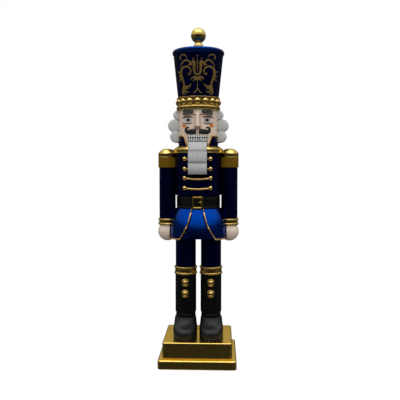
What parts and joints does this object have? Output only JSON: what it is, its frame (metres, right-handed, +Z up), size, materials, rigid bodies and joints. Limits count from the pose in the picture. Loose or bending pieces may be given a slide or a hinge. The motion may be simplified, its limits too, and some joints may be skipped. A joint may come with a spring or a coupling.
{
  "type": "nutcracker figure",
  "caption": "Standing wooden soldier nutcracker with a tall hat and a hinged jaw worked by a lever at the back.",
  "frame": {"origin": "middle of the underside of the plinth's felt pad, on the surface that the figure stands on", "axes": "+Z up the figure, -Y out of its face, +X to the figure's own left"},
  "size_m": [0.0932, 0.084, 0.381],
  "materials": {
    "gold_paint": "metallic gold lacquer on wood, satin to glossy",
    "gold_metal": "polished",
    "navy_paint": "turned wood under glossy dark blue lacquer",
    "black_paint": "turned wood under satin black lacquer",
    "dark_paint": "carved wood, black paint",
    "dark_hair": "stiff dark fibre",
    "skin_paint": "turned wood under satin flesh paint",
    "teeth_paint": "white enamel paint",
    "belt_leather": "smooth black",
    "fringe_thread": "dull gold bullion thread",
    "hair_grey": "light grey curls",
    "beard_white": "white strands",
    "felt": "thin felt",
    "raw_wood": "unpainted beech",
    "steel": "plain"
  },
  "bodies": {
    "figure": {"base_felt_pad": "felt", "base_lower_tier": "gold_paint", "base_upper_tier": "gold_paint", "base_screws": "steel", "leg_dowels": "raw_wood", "shoe_left": "black_paint", "shoe_right": "black_paint", "boot_left": "black_paint", "boot_right": "black_paint", "boot_cuff_left": "gold_paint", "boot_cuff_right": "gold_paint", "boot_buttons": "gold_paint", "trouser_leg_left": "navy_paint", "trouser_leg_right": "navy_paint", "pelvis_block": "navy_paint", "waist_dowel": "raw_wood", "coat_skirt": "navy_paint", "skirt_piping": "gold_paint", "belt": "belt_leather", "belt_buckle": "gold_metal", "buckle_prong": "gold_metal", "torso": "navy_paint", "coat_buttons": "gold_metal", "coat_braid": "gold_paint", "arm_dowels": "raw_wood", "neck_dowels": "raw_wood", "shoulder_yoke": "gold_paint", "arm_left": "navy_paint", "arm_right": "navy_paint", "cuff_left": "gold_paint", "cuff_right": "gold_paint", "hand_left": "skin_paint", "hand_right": "skin_paint", "epaulette_left": "gold_paint", "epaulette_right": "gold_paint", "epaulette_fringe_left": "fringe_thread", "epaulette_fringe_right": "fringe_thread", "head": "skin_paint", "collar": "navy_paint", "collar_piping": "gold_paint", "nose": "skin_paint", "mustache": "dark_paint", "eyebrows": "dark_hair", "upper_teeth": "teeth_paint", "hair_upper_roll": "hair_grey", "hair_middle_roll": "hair_grey", "hair_lower_roll": "hair_grey", "hat_dowel": "raw_wood", "hat_band": "gold_paint", "hat_band_bosses": "gold_paint", "hat_body": "navy_paint", "hat_top": "navy_paint", "finial": "gold_paint", "jaw_pin": "steel"},
    "jaw": {"jaw_lever": "navy_paint", "lower_teeth": "teeth_paint", "beard": "beard_white"}
  },
  "joints": [
    {"name": "jaw_hinge", "type": "hinge", "parent": "figure", "child": "jaw", "pos_m": [0, -0.004, 0.252], "axis": [1, 0, 0], "range_deg": [0, 32]}
  ]
}
